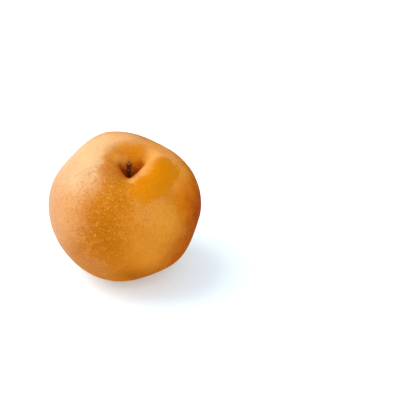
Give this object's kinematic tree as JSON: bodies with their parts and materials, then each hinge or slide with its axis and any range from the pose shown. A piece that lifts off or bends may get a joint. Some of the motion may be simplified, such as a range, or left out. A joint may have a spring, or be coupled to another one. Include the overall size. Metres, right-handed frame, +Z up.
{
  "type": "nashi pear",
  "caption": "Round russet fruit lying tilted on a small flat spot, with a woody stem in a creased hollow at its top and a dry calyx in a basin underneath.",
  "frame": {"origin": "middle of the small flat spot the pear lies on, at the height of the surface under it", "axes": "+Z up from the surface the pear lies on. The core line from the calyx to the stem leans from +Z by 18 degrees towards -Y, the front, and by 7 degrees towards +X."},
  "size_m": [0.0877, 0.0875, 0.0821],
  "materials": {
    "skin": "satin russet fruit skin, golden tan with pale lenticel dots",
    "stem_wood": "dry dark brown bark, matt",
    "calyx_cork": "dry corky brown, matt"
  },
  "bodies": {
    "root": {"fruit": "skin", "stem": "stem_wood", "calyx": "calyx_cork"}
  },
  "joints": []
}
